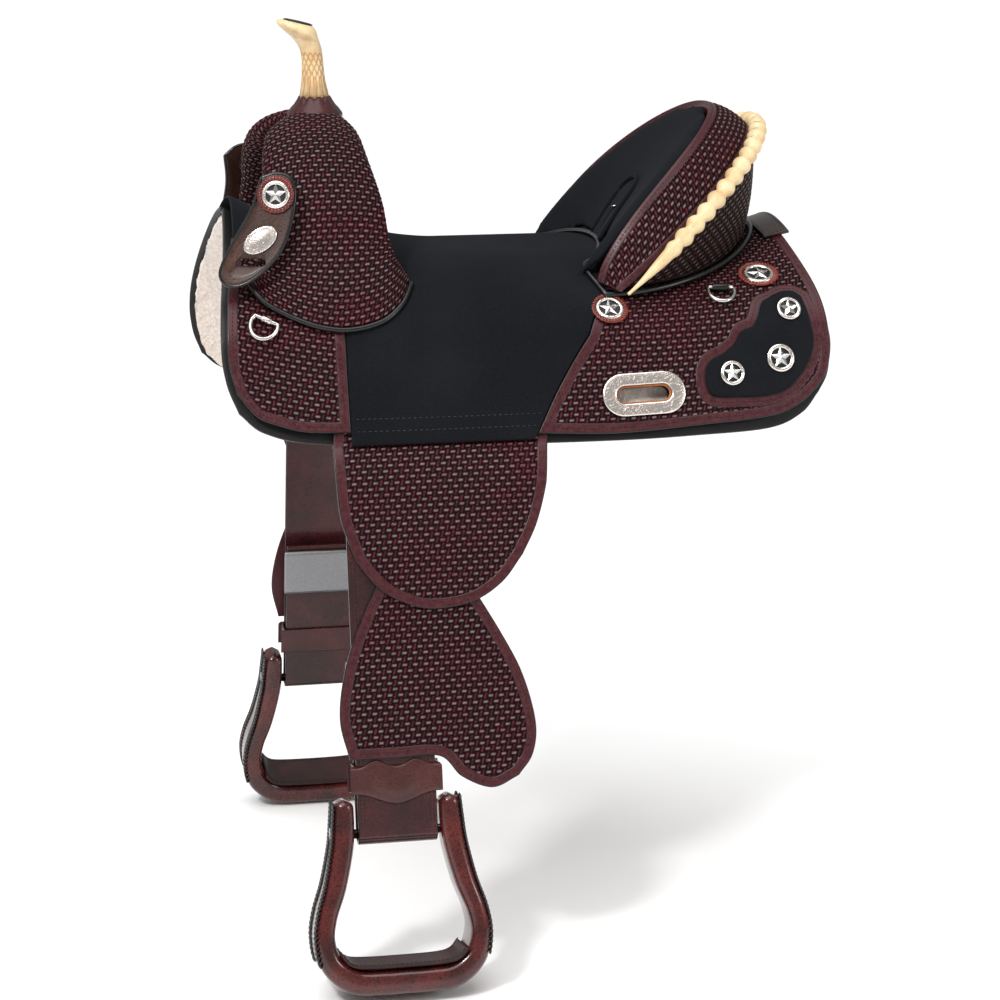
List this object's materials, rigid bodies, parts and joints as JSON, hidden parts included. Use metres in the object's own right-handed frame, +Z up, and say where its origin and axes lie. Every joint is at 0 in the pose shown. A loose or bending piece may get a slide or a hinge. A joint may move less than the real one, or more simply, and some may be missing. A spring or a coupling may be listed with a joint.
{
  "type": "western saddle",
  "caption": "Western riding saddle with horn, swell fork, suede seat, high cantle, skirts, slotted rigging plates, flipping dee rings, and swinging fenders with hung stirrups.",
  "frame": {"origin": "on the centre plane at the crown of the channel over the horse's spine, at the low point of the saddle's underside crown", "axes": "+Z up, -X is the front (horn), +X the rear, -Y the near (left) side, +Y the off side"},
  "size_m": [0.5988, 0.6534, 0.9026],
  "materials": {
    "burgundy_leather": "basket-stamped burgundy leather, black antiqued in the stamping, semi-gloss, with plain red borders",
    "black_suede": "matt blue-black suede with short nap",
    "skirt_leather": "black smooth leather, satin edge",
    "fleece": "cream to pale pink woolly fleece",
    "rawhide": "cream rawhide, satin",
    "glossy_piping": "glossy black rolled piping",
    "keeper_leather": "brown stamped leather with black edge",
    "engraved_silver": "engraved bright silver plate",
    "steel": "nickelled steel",
    "mahogany_leather": "smooth glossy reddish-brown leather",
    "tree": "rawhide-covered wood saddle tree"
  },
  "bodies": {
    "root": {"fleece_near": "fleece", "skirt_near": "skirt_leather", "tree_bar_near": "tree", "fleece_off": "fleece", "skirt_off": "skirt_leather", "tree_bar_off": "tree", "seat": "black_suede", "ground_seat": "tree", "front_jockey_near": "burgundy_leather", "rear_jockey_near": "burgundy_leather", "jockey_inlay_near": "black_suede", "front_jockey_off": "burgundy_leather", "rear_jockey_off": "burgundy_leather", "jockey_inlay_off": "black_suede", "wither_cover": "black_suede", "rear_housing": "burgundy_leather", "rig_plate_near": "engraved_silver", "rig_plate_off": "engraved_silver", "fork_cover": "burgundy_leather", "tree_fork": "tree", "fork_piping_near": "glossy_piping", "fork_piping_off": "glossy_piping", "horn_core": "steel", "horn_wrap": "rawhide", "horn_cap": "rawhide", "horn_collar": "burgundy_leather", "cantle_cushion": "black_suede", "cantle_roll": "burgundy_leather", "cantle_back": "burgundy_leather", "tree_cantle": "tree", "cantle_binding": "rawhide", "cantle_piping": "glossy_piping", "ring_clip_front_near": "engraved_silver", "ring_clip_front_off": "engraved_silver", "ring_clip_rear_near": "engraved_silver", "ring_clip_rear_off": "engraved_silver", "latigo_keeper_near": "keeper_leather", "latigo_keeper_off": "keeper_leather"},
    "leg_near": {"leather_hanger_near": "mahogany_leather"},
    "fender_near": {"stirrup_leather_near": "mahogany_leather", "fender_heart_near": "burgundy_leather", "fender_flap_near": "burgundy_leather", "hobble_strap_near": "burgundy_leather", "leather_buckle_near": "steel"},
    "stirrup_near": {"stirrup_near": "mahogany_leather", "stirrup_bolt_near": "steel", "tread_pad_near": "mahogany_leather"},
    "leg_off": {"leather_hanger_off": "mahogany_leather"},
    "fender_off": {"stirrup_leather_off": "mahogany_leather", "fender_heart_off": "burgundy_leather", "fender_flap_off": "burgundy_leather", "hobble_strap_off": "burgundy_leather", "leather_buckle_off": "steel"},
    "stirrup_off": {"stirrup_off": "mahogany_leather", "stirrup_bolt_off": "steel", "tread_pad_off": "mahogany_leather"},
    "ring_front_near": {"ring_front_near": "steel"},
    "ring_front_off": {"ring_front_off": "steel"},
    "ring_rear_near": {"ring_rear_near": "steel"},
    "ring_rear_off": {"ring_rear_off": "steel"}
  },
  "joints": [
    {"name": "leg_swing_near", "type": "hinge", "parent": "root", "child": "leg_near", "pos_m": [-0.146, -0.16153, -0.03522], "axis": [0, -0.9595, 0.2816], "range_deg": [-15, 8]},
    {"name": "fender_lift_near", "type": "hinge", "parent": "leg_near", "child": "fender_near", "pos_m": [-0.155, -0.2042, -0.1245], "axis": [-1, 0, 0], "range_deg": [0, 90]},
    {"name": "stirrup_pivot_near", "type": "hinge", "parent": "fender_near", "child": "stirrup_near", "pos_m": [-0.1555, -0.26997, -0.47601], "axis": [-1, 0, 0], "range_deg": [-45, 45]},
    {"name": "leg_swing_off", "type": "hinge", "parent": "root", "child": "leg_off", "pos_m": [-0.146, 0.16153, -0.03522], "axis": [0, 0.9595, 0.2816], "range_deg": [-8, 15]},
    {"name": "fender_lift_off", "type": "hinge", "parent": "leg_off", "child": "fender_off", "pos_m": [-0.155, 0.2042, -0.1245], "axis": [1, 0, 0], "range_deg": [0, 90]},
    {"name": "stirrup_pivot_off", "type": "hinge", "parent": "fender_off", "child": "stirrup_off", "pos_m": [-0.1555, 0.26997, -0.47601], "axis": [1, 0, 0], "range_deg": [-45, 45]},
    {"name": "ring_front_flip_near", "type": "hinge", "parent": "root", "child": "ring_front_near", "pos_m": [-0.25755, -0.16085, 0.00151], "axis": [-0.8829, 0.2722, 0.3826], "range_deg": [0, 120]},
    {"name": "ring_front_flip_off", "type": "hinge", "parent": "root", "child": "ring_front_off", "pos_m": [-0.25755, 0.16085, 0.00151], "axis": [0.8829, 0.2722, -0.3826], "range_deg": [0, 120]},
    {"name": "ring_rear_flip_near", "type": "hinge", "parent": "root", "child": "ring_rear_near", "pos_m": [0.19162, -0.13972, 0.0163], "axis": [-0.9959, 0.0878, 0.0223], "range_deg": [0, 150]},
    {"name": "ring_rear_flip_off", "type": "hinge", "parent": "root", "child": "ring_rear_off", "pos_m": [0.19162, 0.13972, 0.0163], "axis": [0.9959, 0.0878, -0.0223], "range_deg": [0, 150]}
  ]
}
